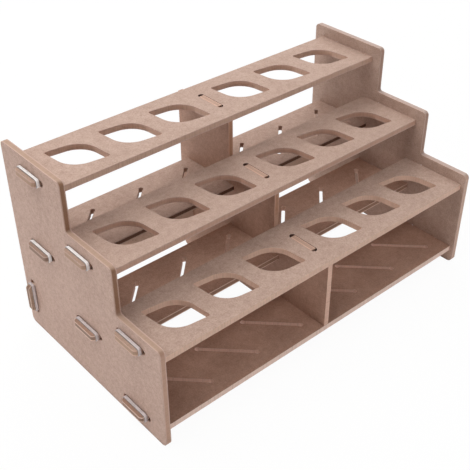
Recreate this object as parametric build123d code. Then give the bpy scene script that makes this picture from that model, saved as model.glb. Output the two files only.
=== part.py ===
from build123d import *
import os

# A three-tier stepped rack for paint bottles and hand tools, cut from one thickness of
# fibreboard and put together without screws. Every shelf has six leaf-shaped bottle holes
# and a support shelf below it; tabs on the shelves pass through the end panels, where an
# elastic ring round each tab keeps it from slipping back.
# X runs along the rack, Y from front to back and Z upwards. The origin is on the table,
# under the middle of the rack. All sizes are in millimetres.

# ---- driving dimensions ----

board = 4.0            # thickness of every board
fit = 0.1              # play on each side of a board in its slot

# bottle holes, the same in every hole shelf
holes_per_side = 3     # holes on each side of the centre divider
hole_side = 26.0       # width of the square that a hole is drawn from
hole_lean = 1.5        # how far two of its corners move out and the other two move in
hole_bulge = 15.5      # radius of the corners that move in, at the rear right and front left
hole_nip = 1.2         # radius of the corners that move out
hole_web = 12.5        # from the square of one hole to the next
end_web = 15.0         # from an end panel to the square of the nearest hole
middle_web = 11.0      # from the divider to the square of the nearest hole
edge_web = 11.75       # from the squares to the front and rear edges of a shelf

# diagonal slits in the support shelves, one under each hole
slit_width = 2.5
slit_reach = 13.5      # from the middle of a slit to its end, along X and along Y
slit_relief = 3.4      # diameter of the round relief at each end of a slit

# tiers
tier_count = 3
tier_rise = 33.0       # height from one tier to the next
tier_overlap = 4.5     # how far each tier reaches back under the next one
support_drop = 53.5    # from the top of a hole shelf to the top of its support shelf
floor_height = 13.5    # top of the lowest support shelf, above the table

# stepped end panels
panel_lip = 8.0        # height of the panel above each hole shelf
front_margin = 3.0     # panel in front of the lowest shelves
riser_lead = 7.5       # panel in front of each higher shelf
rear_margin = 7.5      # panel behind the highest shelves
step_corner = 3.0      # radius of the corners that point outwards
step_crook = 2.0       # radius of the corners that point inwards
foot_corner = 4.0      # radius of the two bottom corners

# low board across the back
back_lift = 14.75      # its lower edge, above the table
back_height = 24.0

# tabs, their slots and the rings on them
tab_length = 20.5      # length of a tab along the edge of its board
tab_reach = 4.5        # how far a tab stands out of the end panel
tab_lead = 1.5         # chamfer on a tab's free corners, which leads it into its slot
tab_ease = 0.45        # second chamfer, on the corners that the first one leaves
slot_spare = 1.3       # straight slot past each end of a tab, before its round end
divider_tab = 19.0     # length of the centre divider's tabs
divider_spare = 0.1    # straight slot past each end of a divider tab
ring_wall = 1.0        # thickness of a ring, measured away from its tab
ring_width = 2.6       # width of a ring, measured along its tab
ring_corner = 1.2      # chamfer on a ring's outer corners

# ---- sizes that follow from them ----

hole_pitch = hole_side + hole_web
holes_run = holes_per_side * hole_side + (holes_per_side - 1) * hole_web
inner_half = end_web + holes_run + middle_web + board / 2
outer_half = inner_half + board
tab_end = outer_half + tab_reach

shelf_depth = hole_side + 2 * edge_web
tier_pitch = shelf_depth - tier_overlap
tiers = range(tier_count)
rack_depth = front_margin + tier_pitch * (tier_count - 1) + shelf_depth + rear_margin
rack_front = -rack_depth / 2
rack_rear = rack_depth / 2

shelf_front = [rack_front + front_margin + tier_pitch * tier for tier in tiers]
shelf_rear = [front + shelf_depth for front in shelf_front]
shelf_middle = [front + shelf_depth / 2 for front in shelf_front]
support_top = [floor_height + tier_rise * tier for tier in tiers]
shelf_top = [height + support_drop for height in support_top]

back_rear = shelf_rear[-1]
back_middle = back_rear - board / 2
back_centre = back_lift + back_height / 2

slot_height = board + 2 * fit

# tiers are numbered from the front, so the first support shelf is the rack's floor
hole_shelf_names = [f"tier_{tier + 1}_hole_shelf" for tier in tiers]
support_names = [f"tier_{tier + 1}_support_shelf" for tier in tiers]


# ---- outlines ----

def outline(corners):
    """A closed face through (u, v, radius) corners, each rounded to its radius."""
    points = [(u, v) for u, v, radius in corners]
    radii = [radius for u, v, radius in corners]
    return make_face(FilletPolyline(*points, radius=radii, close=True))


def tabbed_outline(depth):
    """A board between the end panels, with a tab that reaches through each of them."""
    sheet = Rectangle(2 * inner_half, depth) + Rectangle(2 * tab_end, tab_length)
    for cut in (tab_lead, tab_ease):
        free_corners = sheet.vertices().filter_by(lambda corner: abs(corner.X) > outer_half)
        sheet = chamfer(free_corners, cut)
    return sheet


def leaf_hole():
    """A bottle hole: a square leaning to two narrow corners, with two wide ones between."""
    narrow = hole_side / 2 + hole_lean
    wide = hole_side / 2 - hole_lean
    return outline([
        (-narrow, narrow, hole_nip),
        (wide, wide, hole_bulge),
        (narrow, -narrow, hole_nip),
        (-wide, -wide, hole_bulge),
    ])


def diagonal_slit(lean):
    """A slit from corner to corner of the hole above; lean is 1 or -1 for its direction."""
    length = 2 * slit_reach * 2 ** 0.5
    slit = Rot(0, 0, 45 * lean) * Rectangle(length, slit_width)
    for end in (-1, 1):
        slit += Pos(end * slit_reach, end * lean * slit_reach) * Circle(slit_relief / 2)
    return slit


def hole_centres():
    """Places of the holes along X, from left to right."""
    nearest = board / 2 + middle_web + hole_side / 2
    right = [nearest + hole_pitch * index for index in range(holes_per_side)]
    return [-place for place in reversed(right)] + right


# ---- boards ----

def shelf_blank(tier, top):
    """A shelf of one tier, with its tabs and without its holes."""
    return Pos(0, shelf_middle[tier], top - board) * extrude(tabbed_outline(shelf_depth), board)


def divider_slot(tier, top):
    """The slot across a shelf that takes the centre divider's tab."""
    slot = Rot(0, 0, 90) * SlotCenterToCenter(divider_tab + 2 * divider_spare, slot_height)
    return Pos(0, shelf_middle[tier], top - board) * extrude(slot, board)


def hole_shelf(tier):
    """An upper shelf of one tier, with its bottle holes."""
    top = shelf_top[tier]
    shelf = shelf_blank(tier, top) - divider_slot(tier, top)
    for place in hole_centres():
        shelf -= Pos(place, shelf_middle[tier], top - board) * extrude(leaf_hole(), board)
    return shelf


def support_shelf(tier):
    """A lower shelf of one tier, with a diagonal slit under every bottle hole."""
    top = support_top[tier]
    shelf = shelf_blank(tier, top)
    lean = 1
    if tier == 0:
        shelf -= divider_slot(tier, top)
        lean = -1
    for place in hole_centres():
        slit = extrude(diagonal_slit(lean), board)
        shelf -= Pos(place, shelf_middle[tier], top - board) * slit
    return shelf


def back_board():
    """The low upright board that ties the two end panels together at the back."""
    blank = extrude(tabbed_outline(back_height), board)
    return Pos(0, back_rear, back_centre) * Rot(90, 0, 0) * blank


# ---- upright panels, drawn in the Y-Z plane ----

def panel_outline():
    """The stepped side view of an end panel."""
    corners = [(rack_rear, 0, foot_corner), (rack_front, 0, foot_corner)]
    riser = rack_front
    for tier in tiers:
        top = shelf_top[tier] + panel_lip
        corners.append((riser, top, step_corner))
        if tier + 1 < tier_count:
            riser = shelf_front[tier + 1] - riser_lead
            corners.append((riser, top, step_crook))
    corners.append((rack_rear, shelf_top[-1] + panel_lip, step_corner))
    return outline(corners)


def panel_slots():
    """The round-ended slots of an end panel, in the panel's own plane."""
    shelf_slot = SlotCenterToCenter(tab_length + 2 * slot_spare, slot_height)
    slots = Pos(back_middle, back_centre) * Rot(0, 0, 90) * shelf_slot
    for tier in tiers:
        for top in (support_top[tier], shelf_top[tier]):
            slots += Pos(shelf_middle[tier], top - board / 2) * shelf_slot
    return slots


def end_panel(side):
    """An end panel; side is -1 for the left one and 1 for the right one."""
    inner_face = min(side * inner_half, side * outer_half)
    sheet = panel_outline() - panel_slots()
    return Pos(inner_face, 0, 0) * extrude(Plane.YZ * sheet, board)


def divider_outline():
    """The side view of the centre divider, which steps up behind each hole shelf."""
    start = shelf_front[0]
    corners = [(start, support_top[0], 0)]
    for tier in tiers:
        underside = shelf_top[tier] - board
        corners.append((start, underside, 0))
        start = shelf_rear[tier] + fit
        if tier + 1 < tier_count:
            corners.append((start, underside, 0))
    corners.append((rack_rear, shelf_top[-1] - board, 0))
    corners.append((rack_rear, 0, foot_corner))
    corners.append((shelf_rear[0] + fit, 0, foot_corner))
    corners.append((shelf_rear[0] + fit, support_top[0], 0))
    return outline(corners)


def divider_tabs():
    """The divider's tabs: one up through each hole shelf and one down through the floor."""
    tab = Rectangle(divider_tab, board)
    tabs = Pos(shelf_middle[0], support_top[0] - board / 2) * tab
    for tier in tiers:
        tabs += Pos(shelf_middle[tier], shelf_top[tier] - board / 2) * tab
    return tabs


def divider_openings():
    """Openings of the divider that the other support shelves and the back board cross."""
    passage = Rectangle(shelf_depth + 2 * fit, slot_height)
    openings = Pos(back_middle, back_centre) * Rectangle(slot_height, back_height + 2 * fit)
    for tier in tiers[1:]:
        openings += Pos(shelf_middle[tier], support_top[tier] - board / 2) * passage
    return openings


def centre_divider():
    """The stepped board across the middle of the rack."""
    sheet = divider_outline() + divider_tabs() - divider_openings()
    return Pos(-board / 2, 0, 0) * extrude(Plane.YZ * sheet, board)


# ---- elastic rings ----

def tab_ring(side, place, height, turn):
    """A ring round a tab, against the outside of an end panel; turn 90 is for an upright tab."""
    rim = Rectangle(tab_length + 2 * ring_wall, board + 2 * ring_wall)
    rim = chamfer(rim.vertices(), ring_corner)
    ring = extrude(rim - Rectangle(tab_length, board), ring_width)
    facing = Plane((side * outer_half, place, height), x_dir=(0, 1, 0), z_dir=(side, 0, 0))
    return facing * Rot(0, 0, turn) * ring


def tab_rings(side):
    """Every ring of one end panel, by name."""
    side_name = "left" if side < 0 else "right"
    rings = {}
    for tier in tiers:
        middle = shelf_middle[tier]
        hole_ring = tab_ring(side, middle, shelf_top[tier] - board / 2, 0)
        support_ring = tab_ring(side, middle, support_top[tier] - board / 2, 0)
        rings[f"{side_name}_ring_{hole_shelf_names[tier]}"] = hole_ring
        rings[f"{side_name}_ring_{support_names[tier]}"] = support_ring
    rings[f"{side_name}_ring_back_board"] = tab_ring(side, back_middle, back_centre, 90)
    return rings


# ---- the whole rack ----

def all_pieces():
    """Every piece of the rack, by name."""
    pieces = {
        "left_end_panel": end_panel(-1),
        "right_end_panel": end_panel(1),
        "centre_divider": centre_divider(),
        "back_board": back_board(),
    }
    for tier in tiers:
        pieces[hole_shelf_names[tier]] = hole_shelf(tier)
        pieces[support_names[tier]] = support_shelf(tier)
    for side in (-1, 1):
        pieces.update(tab_rings(side))
    return pieces


os.makedirs("parts", exist_ok=True)
for name, piece in all_pieces().items():
    export_step(piece, f"parts/{name}.step")
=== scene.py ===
import math

import bpy
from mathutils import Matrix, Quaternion, Vector


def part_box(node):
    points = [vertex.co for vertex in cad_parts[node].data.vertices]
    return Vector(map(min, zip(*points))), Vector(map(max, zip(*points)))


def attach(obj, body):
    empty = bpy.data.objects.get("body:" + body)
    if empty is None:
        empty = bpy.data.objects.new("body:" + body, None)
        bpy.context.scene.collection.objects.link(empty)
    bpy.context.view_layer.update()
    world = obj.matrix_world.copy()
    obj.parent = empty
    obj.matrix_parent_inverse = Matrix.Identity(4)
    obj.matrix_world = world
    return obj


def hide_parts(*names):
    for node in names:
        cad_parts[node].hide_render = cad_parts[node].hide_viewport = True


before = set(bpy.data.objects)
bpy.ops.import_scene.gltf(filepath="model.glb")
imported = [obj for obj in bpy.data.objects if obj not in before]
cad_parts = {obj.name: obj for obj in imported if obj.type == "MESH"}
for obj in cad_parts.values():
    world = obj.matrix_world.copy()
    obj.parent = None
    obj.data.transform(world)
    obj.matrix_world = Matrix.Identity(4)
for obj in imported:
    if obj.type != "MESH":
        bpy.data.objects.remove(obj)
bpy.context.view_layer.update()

# All lengths are in metres, in the row frame: X along the rack, Y to the back, Z up.
# A pair of limits that a ramp takes runs from the value that gives 0 to the one that gives 1.

BOARD = 0.004                                   # thickness of every board
PANEL_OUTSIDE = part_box("right_end_panel")[1].x  # the end panels' outer faces, from the middle

# ---- colours, written as sRGB values from 0 to 255 ----

FACE = ((170, 142, 127), (196, 169, 155))       # sanded fibreboard, darker and paler grain
FACE_PINK = ((175, 145, 130), (202, 172, 158))  # the same on the left end panel
FACE_WARM_SHADED = ((175, 139, 120), (202, 166, 147))  # warmer, painted shade of the enclosed bay, on tier 2's support shelf
FACE_DEEP_SHADED = ((165, 129, 111), (190, 154, 135))  # deeper, painted shade of the enclosed bays, on the floor board and the divider
FACE_SAND_LIT = ((184, 156, 138), (208, 181, 163))  # paler, painted light bounced up from below, on the back board
SPECK = (132, 104, 90)          # dark fibres scattered over it
SCORCH = (120, 88, 68)          # scorch lines across a cut edge
SLOT_SHADE = (70, 48, 40)             # painted shade on the walls of the narrow slots over the divider
TAB_TAN = (176, 144, 122)       # ends of the tabs outside the end panels
TAB_DARK = (142, 114, 98)
RING_HIGH = (250, 247, 246)     # elastic rings of the upper shelves
RING_LOW_SHADED = (212, 202, 202)      # and of the lower ones: the same elastic, greyer with painted shade
RING_SIDE_SHADE = (150, 140, 137)     # painted shade on the outward sides of both
RING_SHADE = 0.93               # how much darker the cloudy parts of a ring are
GROUND = (250, 249, 248)

# ---- texture of the boards, with scales in cells per metre ----

GRAIN_SCALE = 1100.0
MOTTLE_SCALE = 260.0
CLOUD_SCALE = 30.0
GRAIN_SHARE = 0.5
MOTTLE_SHARE = 0.35
CLOUD_SHARE = 0.15
TONE_LIMITS = (0.36, 0.64)              # of the mixed noise, from the darker to the paler tone
STREAK_SCALE = (1900, 420, 1900)        # fibres in two directions
STREAK_TURN = (0, 0, 0.5)
CROSS_SCALE = (460, 2000, 460)
CROSS_TURN = (0.3, 0.2, -0.4)
FIBRE_LIMITS = (0.6, 0.78)
FIBRE_DEPTH = 0.6
LINE_SCALE = 2200.0                     # scorch lines, which run through the board's thickness
LINE_SCALE_THROUGH = 120.0
SCORCH_LIMITS = (0.45, 0.8)
SCORCH_DEPTH = 0.35
RIM_LIMITS = (BOARD * 0.26, BOARD * 0.38)       # paler rim of a cut edge, from its middle line
RIM_WAVE = BOARD * 0.25
SEED_SHIFT = (0.37, 0.61, 0.23)         # moves each board's texture on by this much

FACE_LIMITS = (0.75, 0.9)               # of the normal along the board's thin axis
UPWARD_LIGHT_LIMITS = (0.5, 0.9)              # of the normal's upward part, which sets the painted light and shade of cut edges facing up
SIDE_SHADE_LIMITS = (0.55, 0.85)          # of the normal's sideways part, for the painted shade on a ring's sides
STEP_LIMITS = (0.072, 0.080)            # height of the first step, above which the cut edges are darker with painted shade
SLOT_ASIDE_LIMITS = (0.006, 0.004)      # distances from the middle of the slot over the divider
SLOT_ALONG_LIMITS = (0.016, 0.014)
TAB_LIMITS = (PANEL_OUTSIDE + 0.0018, PANEL_OUTSIDE + 0.0030)
TAB_TINT = 0.4                          # share of the tab's colour on its two flat sides

# ---- edges of the boards ----

WELD_REACH = 0.00001
FLAT_ANGLE = math.radians(2)
ARRIS_WIDTH = 0.00025
ARRIS_ANGLE = math.radians(40)

# ---- rings ----

RING_WIDTH_SHARE = 0.8          # width of a ring, as a share of its solid's
RING_CORNER = 0.0014            # radius of its middle line at the corners
RING_BULGE = 0.55               # exponent of its rounded section: 1 is round, towards 0 is square
CORNER_STEPS = 6
SECTION_SIDES = 16
RING_HIGH_FROM = 0.07           # lowest height of the whiter rings; lower ones take painted shade

# ---- floor, light and camera ----

GROUND_HALF = 3.0
GROUND_GLOW = 0.96              # share of plain white in what the camera sees of the floor
SKY_STRENGTH = 0.12
RACK_MIDDLE = (0, 0, 0.05)
CAMERA_PLACE = (-0.32120, -0.35090, 0.39368)
CAMERA_TARGET = (-0.01180, 0.00530, 0.05)
CAMERA_ROLL = math.radians(-0.28)
SENSOR_WIDTH = 36.0             # in millimetres, as is the lens
LENS = 65.81


def linear(colour):
    """Scene-linear RGBA of an sRGB colour."""
    channels = []
    for value in colour:
        share = value / 255
        low = share / 12.92
        high = ((share + 0.055) / 1.055) ** 2.4
        channels.append(low if share <= 0.04045 else high)
    return (*channels, 1.0)


def link(thing):
    """Put an object into the scene."""
    bpy.context.scene.collection.objects.link(thing)


# ---- node helpers ----

class Nodes:
    """A short way to make and link the nodes of one material or world."""

    def __init__(self, owner):
        owner.use_nodes = True
        self.tree = owner.node_tree
        self.tree.nodes.clear()

    def add(self, kind, settings=None, **inputs):
        node = self.tree.nodes.new(kind)
        for name, value in (settings or {}).items():
            setattr(node, name, value)
        for name, value in inputs.items():
            self.give(node, name.replace("_", " "), value)
        return node

    def give(self, node, name, value):
        """Set or link a socket, named or, where names repeat, given by its number."""
        socket = node.inputs[int(name)] if name.isdigit() else node.inputs[name]
        if isinstance(value, bpy.types.NodeSocket):
            self.tree.links.new(value, socket)
        else:
            socket.default_value = value

    def math(self, operation, *values):
        node = self.add("ShaderNodeMath", {"operation": operation})
        for place, value in enumerate(values):
            self.give(node, str(place), value)
        return node.outputs[0]

    def mix(self, share, first, second):
        node = self.add("ShaderNodeMix", {"data_type": "RGBA"})
        self.give(node, "0", share)
        self.give(node, "6", first)
        self.give(node, "7", second)
        return node.outputs[2]

    def ramp(self, value, limits):
        node = self.add("ShaderNodeMapRange", {"clamp": True})
        self.give(node, "0", value)
        self.give(node, "1", limits[0])
        self.give(node, "2", limits[1])
        return node.outputs[0]

    def noise(self, place, scale, detail=3.0, rough=0.55):
        node = self.add("ShaderNodeTexNoise", Scale=scale, Detail=detail, Roughness=rough)
        self.give(node, "Vector", place)
        return node.outputs["Fac"]

    def stretched(self, place, scale, turn=(0.0, 0.0, 0.0)):
        node = self.add("ShaderNodeMapping")
        self.give(node, "Vector", place)
        node.inputs["Rotation"].default_value = turn
        node.inputs["Scale"].default_value = scale
        return node.outputs[0]

    def parts(self, vector):
        """The X, Y and Z outputs of a vector."""
        node = self.add("ShaderNodeSeparateXYZ")
        self.give(node, "0", vector)
        return node.outputs

    def distance(self, value, middle):
        return self.math("ABSOLUTE", self.math("SUBTRACT", value, middle))

    def seen_directly(self):
        """1 for what the camera sees, also in reflections and through clear material."""
        path = self.add("ShaderNodeLightPath")
        seen = self.math("MAXIMUM", path.outputs["Is Camera Ray"], path.outputs["Is Glossy Ray"])
        return self.math("MAXIMUM", seen, path.outputs["Is Transmission Ray"])

    def surface(self, colour, roughness, specular, bump):
        """Finish a material with a plain shader over a bump."""
        shader = self.add("ShaderNodeBsdfPrincipled")
        self.give(shader, "Base Color", colour)
        self.give(shader, "Roughness", roughness)
        self.give(shader, "Specular IOR Level", specular)
        self.give(shader, "Normal", bump.outputs[0])
        self.output("ShaderNodeOutputMaterial", shader)

    def output(self, kind, shader):
        node = self.add(kind)
        self.give(node, "Surface", shader.outputs[0])


# ---- material of the boards ----

def board_face(n, place, tones):
    """Colour of a sanded face, with scattered dark fibres, and its fine grain."""
    grain = n.noise(place, GRAIN_SCALE, 2.0, 0.6)
    mottle = n.noise(place, MOTTLE_SCALE)
    cloud = n.noise(place, CLOUD_SCALE, 2.0)
    mixed = n.math(
        "ADD",
        n.math("MULTIPLY", grain, GRAIN_SHARE),
        n.math("MULTIPLY", mottle, MOTTLE_SHARE),
    )
    mixed = n.math("ADD", mixed, n.math("MULTIPLY", cloud, CLOUD_SHARE))
    face = n.mix(n.ramp(mixed, TONE_LIMITS), linear(tones[0]), linear(tones[1]))
    streak = n.noise(n.stretched(place, STREAK_SCALE, STREAK_TURN), 1.0, 2.0)
    cross = n.noise(n.stretched(place, CROSS_SCALE, CROSS_TURN), 1.0, 2.0)
    fibre = n.ramp(n.math("MAXIMUM", streak, cross), FIBRE_LIMITS)
    return n.mix(n.math("MULTIPLY", fibre, FIBRE_DEPTH), face, linear(SPECK)), grain


def cut_core(n, spot, normal, front_face, cut, cut_high_shaded, cut_up_by_light, front):
    """Colour along the middle of a cut edge, with painted light and shade by height, by direction and
    along the front.
    """
    core = linear(cut)
    # cut edges above the first step: painted shade
    if cut_high_shaded:
        core = n.mix(n.ramp(spot[2], STEP_LIMITS), core, linear(cut_high_shaded))
    # cut edges facing up: painted light and shade by direction
    if cut_up_by_light:
        core = n.mix(n.ramp(normal[2], UPWARD_LIGHT_LIMITS), core, linear(cut_up_by_light))
    # along the front edge: painted shade
    if front:
        front_limits = (front_face + BOARD / 2, front_face + BOARD / 4)
        core = n.mix(n.ramp(spot[1], front_limits), core, linear(front))
    return core


def divider_slot(n, spot, low, high):
    """1 round the narrow slot over the divider, in the board between low and high, where the slot's
    walls get painted shade.
    """
    aside = n.ramp(n.math("ABSOLUTE", spot[0]), SLOT_ASIDE_LIMITS)
    centre = (low.y + high.y) / 2
    along = n.ramp(n.distance(spot[1], centre), SLOT_ALONG_LIMITS)
    return n.math("MULTIPLY", aside, along)


def board_material(
    name, seed, thin_axis, tones, cut, cut_high_shaded=None, cut_up_by_light=None, tab=None, front=None
):
    """Fibreboard with its faces across thin_axis (0, 1 or 2) and cut edges elsewhere."""
    material = bpy.data.materials.new(f"{name}_board")
    n = Nodes(material)
    coords = n.add("ShaderNodeTexCoord").outputs["Object"]
    spot = n.parts(coords)
    shift = n.add("ShaderNodeVectorMath", {"operation": "ADD"})
    n.give(shift, "0", coords)
    n.give(shift, "1", tuple(seed * part for part in SEED_SHIFT))
    place = shift.outputs[0]
    normal = n.parts(n.add("ShaderNodeNewGeometry").outputs["Normal"])
    is_face = n.ramp(n.math("ABSOLUTE", normal[thin_axis]), FACE_LIMITS)
    face, grain = board_face(n, place, tones)

    low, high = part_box(name)
    depth = n.distance(spot[thin_axis], (low[thin_axis] + high[thin_axis]) / 2)
    line_scale = [LINE_SCALE, LINE_SCALE, LINE_SCALE]
    line_scale[thin_axis] = LINE_SCALE_THROUGH
    lines = n.noise(n.stretched(place, line_scale), 1.0)
    wave = n.math("MULTIPLY", n.math("SUBTRACT", lines, 0.5), RIM_WAVE)
    at_rim = n.ramp(n.math("ADD", depth, wave), RIM_LIMITS)
    burnt = n.math("MULTIPLY", n.ramp(lines, SCORCH_LIMITS), SCORCH_DEPTH)

    core = cut_core(n, spot, normal, low.y, cut, cut_high_shaded, cut_up_by_light, front)
    rim = linear(tuple(max(pair) for pair in zip(cut, tones[1])))
    edge = n.mix(burnt, n.mix(at_rim, core, rim), linear(SCORCH))
    if tab == TAB_TAN:          # the hole shelves, slotted over the divider, with painted shade in the slot
        edge = n.mix(divider_slot(n, spot, low, high), edge, linear(SLOT_SHADE))
    if tab:
        outside = n.ramp(n.math("ABSOLUTE", spot[0]), TAB_LIMITS)
        tab_end = n.mix(burnt, n.mix(at_rim, linear(tab), rim), linear(SCORCH))
        edge = n.mix(outside, edge, tab_end)
        face = n.mix(n.math("MULTIPLY", outside, TAB_TINT), face, linear(tab))

    bump = n.add("ShaderNodeBump", Strength=0.35, Distance=0.00012)
    n.give(bump, "Height", n.mix(is_face, lines, grain))
    gloss = n.math("ADD", n.math("MULTIPLY", grain, 0.16), 0.52)
    n.surface(n.mix(is_face, edge, face), gloss, 0.3, bump)
    return material


# ---- boards ----

# Each board's thin axis, the tones of its faces and the colour of its cut edges. Where they
# differ, also the colours of the cut edges above the first step (cut_high_shaded), darker with painted
# shade, facing up (cut_up_by_light), with painted light and shade, and along the front (front), darker
# with painted shade, and of the ends of its tabs (tab).
BOARDS = {
    "left_end_panel": {
        "thin_axis": 0,
        "tones": FACE_PINK,
        "cut": (188, 150, 130),
        "cut_high_shaded": (146, 108, 84),
        "cut_up_by_light": (180, 150, 131),
    },
    "right_end_panel": {
        "thin_axis": 0,
        "tones": FACE,
        "cut": (198, 164, 146),
        "cut_high_shaded": (172, 138, 122),
        "cut_up_by_light": (188, 166, 156),
    },
    "centre_divider": {
        "thin_axis": 0,
        "tones": FACE_DEEP_SHADED,
        "cut": (216, 176, 156),
        "cut_high_shaded": (188, 142, 116),
        "cut_up_by_light": (186, 153, 135),
    },
    "back_board": {
        "thin_axis": 1,
        "tones": FACE_SAND_LIT,
        "cut": (190, 154, 136),
        "cut_up_by_light": (200, 170, 148),
        "tab": TAB_DARK,
    },
    # The support shelves' pale cut edges hold painted light on the walls of their slits.
    "tier_1_support_shelf": {
        "thin_axis": 2,
        "tones": FACE_DEEP_SHADED,
        "cut": (236, 206, 192),
        "tab": TAB_DARK,
    },
    "tier_2_support_shelf": {
        "thin_axis": 2,
        "tones": FACE_WARM_SHADED,
        "cut": (234, 204, 188),
        "tab": TAB_DARK,
        "front": (158, 124, 104),
    },
    # Tier 3's support shelf, deep under the shelf above, has cut edges darker with painted shade.
    "tier_3_support_shelf": {
        "thin_axis": 2,
        "tones": FACE,
        "cut": (160, 126, 106),
        "tab": TAB_DARK,
        "front": (92, 62, 46),
    },
    # Tier 1's paler cut edges hold painted light bounced up from the floor.
    "tier_1_hole_shelf": {"thin_axis": 2, "tones": FACE, "cut": (216, 180, 160), "tab": TAB_TAN},
    "tier_2_hole_shelf": {"thin_axis": 2, "tones": FACE, "cut": (200, 162, 143), "tab": TAB_TAN},
    "tier_3_hole_shelf": {"thin_axis": 2, "tones": FACE, "cut": (202, 168, 149), "tab": TAB_TAN},
}


def soften(board):
    """Round a board's arrises a little, on corners joined and flat faces made whole first."""
    weld = board.modifiers.new("joined_corners", "WELD")
    weld.merge_threshold = WELD_REACH
    flat = board.modifiers.new("plain_faces", "DECIMATE")
    flat.decimate_type = "DISSOLVE"
    flat.angle_limit = FLAT_ANGLE
    arris = board.modifiers.new("soft_arris", "BEVEL")
    arris.width = ARRIS_WIDTH
    arris.segments = 1
    arris.limit_method = "ANGLE"
    arris.angle_limit = ARRIS_ANGLE
    arris.harden_normals = True


for seed, (name, finish) in enumerate(BOARDS.items(), start=1):
    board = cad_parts[name]
    material = board_material(name, seed, **finish)
    for slot in board.material_slots:
        slot.material = material
    soften(board)


# ---- rings ----

def ring_material(name, tone):
    """Pale elastic, slightly uneven, with painted shade on its outward sides."""
    material = bpy.data.materials.new(name)
    n = Nodes(material)
    place = n.add("ShaderNodeTexCoord").outputs["Object"]
    cloud = n.noise(place, 500.0)
    fine = n.noise(place, 3500.0, 2.0)
    shade = tuple(value * RING_SHADE for value in tone)
    colour = n.mix(n.ramp(cloud, (0.4, 0.8)), linear(tone), linear(shade))
    normal = n.parts(n.add("ShaderNodeNewGeometry").outputs["Normal"])
    # painted shade on the ring's outward sides
    side_shade = n.ramp(n.math("ABSOLUTE", normal[0]), SIDE_SHADE_LIMITS)
    colour = n.mix(side_shade, colour, linear(RING_SIDE_SHADE))
    bump = n.add("ShaderNodeBump", Strength=0.2, Distance=0.0001)
    n.give(bump, "Height", fine)
    n.surface(colour, 0.42, 0.5, bump)
    return material


def ring_path(half_long, half_short):
    """Stops along a rounded rectangle, each with its outward direction."""
    path = []
    for quarter in range(4):
        sign_long = 1 if quarter in (0, 3) else -1
        sign_short = 1 if quarter in (0, 1) else -1
        centre_long = sign_long * (half_long - RING_CORNER)
        centre_short = sign_short * (half_short - RING_CORNER)
        for step in range(CORNER_STEPS + 1):
            angle = math.radians(90 * quarter + 90 * step / CORNER_STEPS)
            out = (math.cos(angle), math.sin(angle))
            path.append((centre_long + RING_CORNER * out[0], centre_short + RING_CORNER * out[1], out))
    return path


def bulged(value):
    """A sine or cosine, swollen so that a circle becomes a rounded square."""
    return math.copysign(abs(value) ** RING_BULGE, value)


def tube_faces(stops):
    """Faces of a closed tube with SECTION_SIDES vertices at each stop."""
    faces = []
    for stop in range(stops):
        after = (stop + 1) % stops
        for side in range(SECTION_SIDES):
            beside = (side + 1) % SECTION_SIDES
            faces.append((
                stop * SECTION_SIDES + side,
                stop * SECTION_SIDES + beside,
                after * SECTION_SIDES + beside,
                after * SECTION_SIDES + side,
            ))
    return faces


def ring_mesh(name, low, high, upright):
    """A rounded band inside the box low-high, round a board-thick tab."""
    middle = (low + high) / 2
    width = (high.x - low.x) * RING_WIDTH_SHARE
    wall = ((high.y - low.y if upright else high.z - low.z) - BOARD) / 2
    half_long = (high.z - low.z if upright else high.y - low.y) / 2 - wall / 2
    half_short = BOARD / 2 + wall / 2
    path = ring_path(half_long, half_short)
    vertices = []
    for along, aside, out in path:
        for side in range(SECTION_SIDES):
            angle = 2 * math.pi * side / SECTION_SIDES
            swell = wall / 2 * bulged(math.sin(angle))
            across = width / 2 * bulged(math.cos(angle))
            long_part = along + out[0] * swell
            short_part = aside + out[1] * swell
            if upright:
                vertices.append((middle.x + across, middle.y + short_part, middle.z + long_part))
            else:
                vertices.append((middle.x + across, middle.y + long_part, middle.z + short_part))
    mesh = bpy.data.meshes.new(name)
    mesh.from_pydata(vertices, [], tube_faces(len(path)))
    mesh.validate()
    if upright:
        mesh.flip_normals()     # an upright ring swaps Y and Z, which turned its faces inward
    for polygon in mesh.polygons:
        polygon.use_smooth = True
    return mesh


elastic_high = ring_material("elastic_high", RING_HIGH)
elastic_low_shaded = ring_material("elastic_low_shaded", RING_LOW_SHADED)
for name in sorted(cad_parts):
    if "_ring_" not in name:
        continue
    low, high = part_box(name)
    band = ring_mesh(name, low, high, name.endswith("back_board"))
    piece = bpy.data.objects.new(f"{name}_band", band)
    link(piece)
    # rings low down take the greyer elastic, painted shade
    piece.data.materials.append(elastic_high if low.z > RING_HIGH_FROM else elastic_low_shaded)
    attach(piece, "root")
    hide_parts(name)


# ---- floor, light and camera ----

def floor():
    """A pale floor that shows white to the camera and keeps a faint shadow."""
    mesh = bpy.data.meshes.new("ground")
    half = GROUND_HALF
    mesh.from_pydata(
        [(-half, -half, 0), (half, -half, 0), (half, half, 0), (-half, half, 0)],
        [],
        [(0, 1, 2, 3)],
    )
    ground = bpy.data.objects.new("ground", mesh)
    link(ground)
    material = bpy.data.materials.new("ground_paper")
    n = Nodes(material)
    paper = n.add("ShaderNodeBsdfDiffuse", Color=linear(GROUND))
    glow = n.add("ShaderNodeEmission", Color=(1.0, 1.0, 1.0, 1.0), Strength=1.0)
    mixed = n.add("ShaderNodeMixShader")
    n.give(mixed, "0", n.math("MULTIPLY", n.seen_directly(), GROUND_GLOW))
    n.give(mixed, "1", paper.outputs[0])
    n.give(mixed, "2", glow.outputs[0])
    n.output("ShaderNodeOutputMaterial", mixed)
    mesh.materials.append(material)


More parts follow.
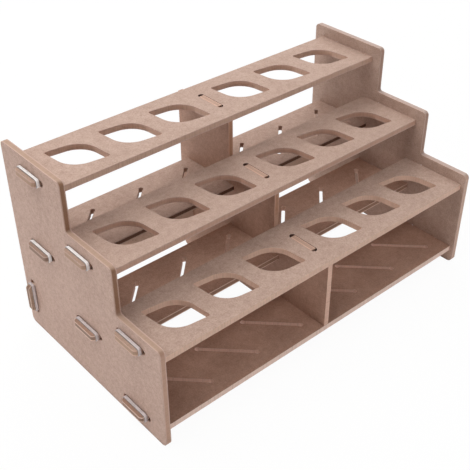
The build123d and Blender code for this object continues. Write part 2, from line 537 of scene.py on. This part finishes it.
def area_light(name, place, target, size, power):
    """A square soft light that looks from place at target."""
    data = bpy.data.lights.new(name, "AREA")
    data.shape = "SQUARE"
    data.size = size
    data.energy = power
    lamp = bpy.data.objects.new(name, data)
    lamp.location = place
    lamp.rotation_euler = (Vector(target) - Vector(place)).to_track_quat("-Z", "Y").to_euler()
    link(lamp)
    lamp.visible_camera = False
    lamp.visible_glossy = False


def sky(strength):
    """An even pale surround that shows white to the camera."""
    world = bpy.data.worlds.new("studio")
    bpy.context.scene.world = world
    n = Nodes(world)
    power = n.add("ShaderNodeMapRange")
    n.give(power, "0", n.seen_directly())
    n.give(power, "3", strength)
    n.give(power, "4", 1.0)
    background = n.add("ShaderNodeBackground", Color=(1.0, 1.0, 1.0, 1.0))
    n.give(background, "Strength", power.outputs[0])
    n.output("ShaderNodeOutputWorld", background)


def camera():
    """The photograph's viewpoint."""
    data = bpy.data.cameras.new("viewpoint")
    data.sensor_width = SENSOR_WIDTH
    data.lens = LENS
    data.clip_start = 0.01
    data.clip_end = 20.0
    viewpoint = bpy.data.objects.new("viewpoint", data)
    look = (Vector(CAMERA_TARGET) - Vector(CAMERA_PLACE)).to_track_quat("-Z", "Y")
    roll = Quaternion((0, 0, 1), CAMERA_ROLL)
    viewpoint.location = CAMERA_PLACE
    viewpoint.rotation_euler = (look @ roll).to_euler()
    link(viewpoint)
    bpy.context.scene.camera = viewpoint


floor()
sky(SKY_STRENGTH)
area_light("over", (0.0, 0.1, 1.6), RACK_MIDDLE, size=1.6, power=9.8)
area_light("left", (-0.7, 0.3, 1.3), RACK_MIDDLE, size=1.2, power=12.0)
area_light("front", (0.0, -1.5, 0.6), RACK_MIDDLE, size=1.2, power=2.8)
area_light("right", (0.9, 1.1, 0.9), RACK_MIDDLE, size=1.2, power=14.8)
# The white table throws light up between the boards. Its lamp lies just over the floor and
# looks up, a hair off the vertical, where its turn is well defined.
area_light("table", (0, 0, 0.0005), (0, 0.0001, 0.5), size=1.5, power=1.8)
camera()
bpy.context.scene.view_settings.view_transform = "Standard"
